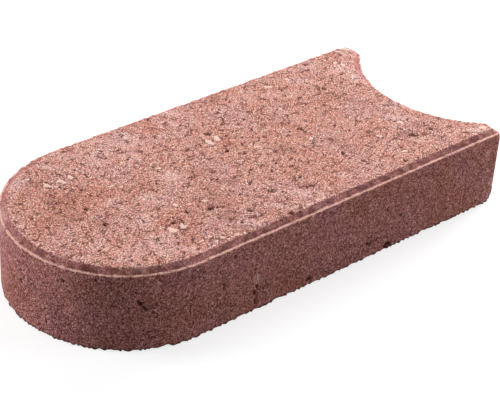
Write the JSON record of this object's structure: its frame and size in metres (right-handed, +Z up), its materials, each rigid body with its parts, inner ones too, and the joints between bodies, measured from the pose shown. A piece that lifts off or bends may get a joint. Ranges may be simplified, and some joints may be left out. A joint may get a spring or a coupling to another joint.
{
  "type": "garden edging stone",
  "caption": "Pressed red concrete lawn edging stone: flat slab with a half-round end, a hollowed arc end that the next stone turns in, and a stepped, sloped top rim.",
  "frame": {"origin": "centre of the bounding box on the underside", "axes": "+X along the stone towards the hollow end, +Y across it, +Z up out of the top face"},
  "size_m": [0.2609, 0.12, 0.045],
  "materials": {
    "red_concrete": "matte, open-grained pressed concrete, coloured red right through"
  },
  "bodies": {
    "root": {"edging_stone": "red_concrete"}
  },
  "joints": []
}
